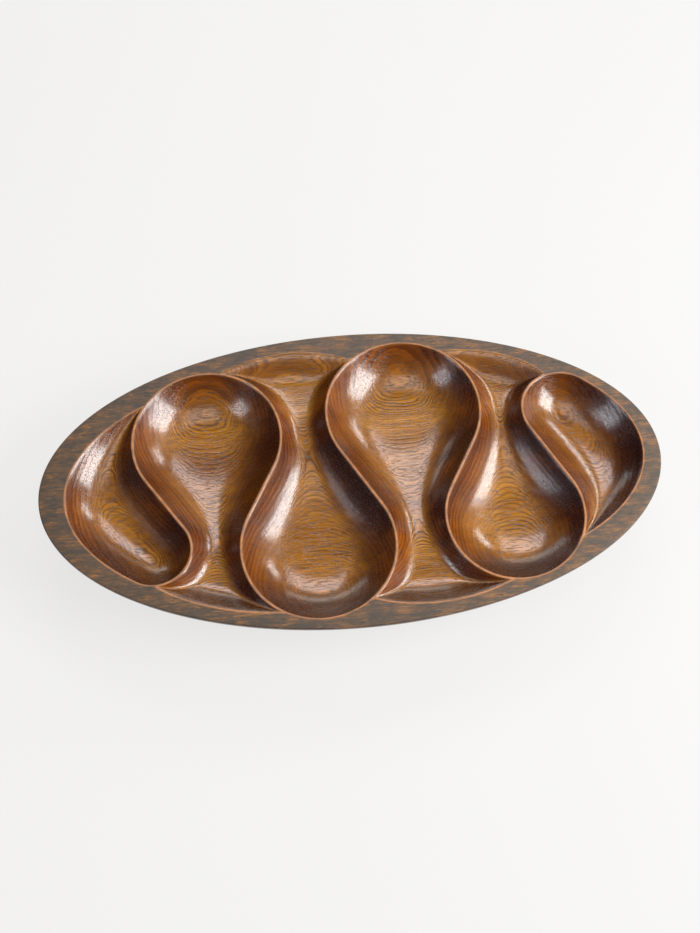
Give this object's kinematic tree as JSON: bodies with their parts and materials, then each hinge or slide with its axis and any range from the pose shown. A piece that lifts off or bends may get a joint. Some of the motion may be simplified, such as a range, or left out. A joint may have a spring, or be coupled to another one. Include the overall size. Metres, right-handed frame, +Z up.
{
  "type": "lazy susan",
  "caption": "Carved oval wooden serving tray with interlocking teardrop compartments, turning freely on a steel ball bearing above a round wooden base on rubber feet.",
  "frame": {"origin": "on the turning axis, at the level that the rubber feet stand on", "axes": "+Z up along the turning axis, +X along the tray's length, +Y across the tray away from the person it faces"},
  "size_m": [0.51, 0.262, 0.068],
  "materials": {
    "tray_wood": "gloss lacquer over a dark brown stain",
    "base_wood": "satin lacquer over a dark brown stain",
    "plated_steel": "pressed, zinc plated",
    "bright_steel": "polished",
    "cage_brass": "stamped",
    "zinc_steel": "zinc plated",
    "rubber": "moulded"
  },
  "bodies": {
    "base": {"base_disc": "base_wood", "bearing_bottom_plate": "plated_steel", "hub_eyelet": "zinc_steel", "base_screw_1": "zinc_steel", "base_screw_2": "zinc_steel", "base_screw_3": "zinc_steel", "base_screw_4": "zinc_steel", "foot_1": "rubber", "foot_2": "rubber", "foot_3": "rubber", "foot_4": "rubber", "foot_tack_1": "zinc_steel", "foot_tack_2": "zinc_steel", "foot_tack_3": "zinc_steel", "foot_tack_4": "zinc_steel"},
    "tray": {"tray": "tray_wood", "bearing_top_plate": "plated_steel", "tray_screw_1": "zinc_steel", "tray_screw_2": "zinc_steel", "tray_screw_3": "zinc_steel", "tray_screw_4": "zinc_steel"},
    "ball_cage": {"ball_cage": "cage_brass", "bearing_ball_1": "bright_steel", "bearing_ball_2": "bright_steel", "bearing_ball_3": "bright_steel", "bearing_ball_4": "bright_steel", "bearing_ball_5": "bright_steel", "bearing_ball_6": "bright_steel", "bearing_ball_7": "bright_steel", "bearing_ball_8": "bright_steel", "bearing_ball_9": "bright_steel", "bearing_ball_10": "bright_steel", "bearing_ball_11": "bright_steel", "bearing_ball_12": "bright_steel", "bearing_ball_13": "bright_steel", "bearing_ball_14": "bright_steel", "bearing_ball_15": "bright_steel", "bearing_ball_16": "bright_steel"}
  },
  "joints": [
    {"name": "tray_spin", "type": "hinge", "parent": "base", "child": "tray", "pos_m": [0, 0, 0.0255], "axis": [0, 0, 1], "continuous": true},
    {"name": "cage_spin", "type": "hinge", "parent": "base", "child": "ball_cage", "pos_m": [0, 0, 0.0255], "axis": [0, 0, 1], "continuous": true}
  ],
  "couplings": [
    {"joint": "cage_spin", "follows": "tray_spin", "ratio": 0.5}
  ]
}
